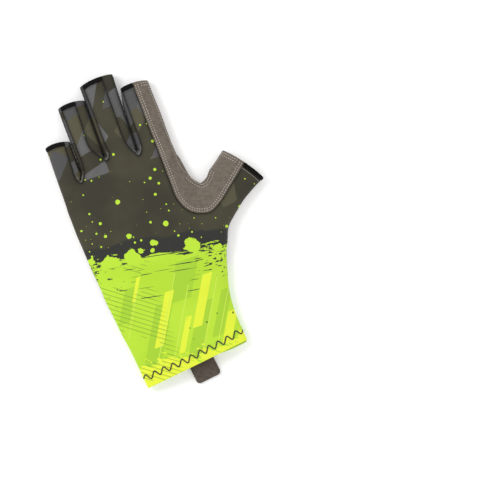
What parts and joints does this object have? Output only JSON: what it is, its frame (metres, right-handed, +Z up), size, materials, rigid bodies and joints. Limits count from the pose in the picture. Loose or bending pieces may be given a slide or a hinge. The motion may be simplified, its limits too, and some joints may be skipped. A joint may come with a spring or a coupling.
{
  "type": "fishing glove",
  "caption": "Fingerless fishing glove for the left hand: printed stretch-knit back and cuff, suede palm and thumb saddle, bound finger openings and a pull tab at the hem.",
  "frame": {"origin": "on the table, under the middle of the outline of the glove as it lies palm down", "axes": "+Y towards the fingertips, +X towards the thumb, +Z up, out of the back of the hand"},
  "size_m": [0.1588, 0.255, 0.017],
  "materials": {
    "printed_knit": "matt stretch knit, dark olive running into lime",
    "lime_knit": "matt stretch knit, lime",
    "side_knit": "matt stretch knit, dark olive and grey",
    "suede": "brushed microfibre suede, taupe",
    "tab_suede": "brushed microfibre suede, dark taupe",
    "binding": "elastic tape, black"
  },
  "bodies": {
    "root": {"back_panel": "printed_knit", "palm_panel": "suede", "cuff_underside": "lime_knit", "fourchette_little_ring": "side_knit", "fourchette_ring_middle": "side_knit", "fourchette_middle_index": "side_knit", "saddle_patch": "suede", "binding_little": "binding", "binding_ring": "binding", "binding_middle": "binding", "binding_index": "binding", "binding_thumb": "binding", "pull_tab": "tab_suede"}
  },
  "joints": []
}
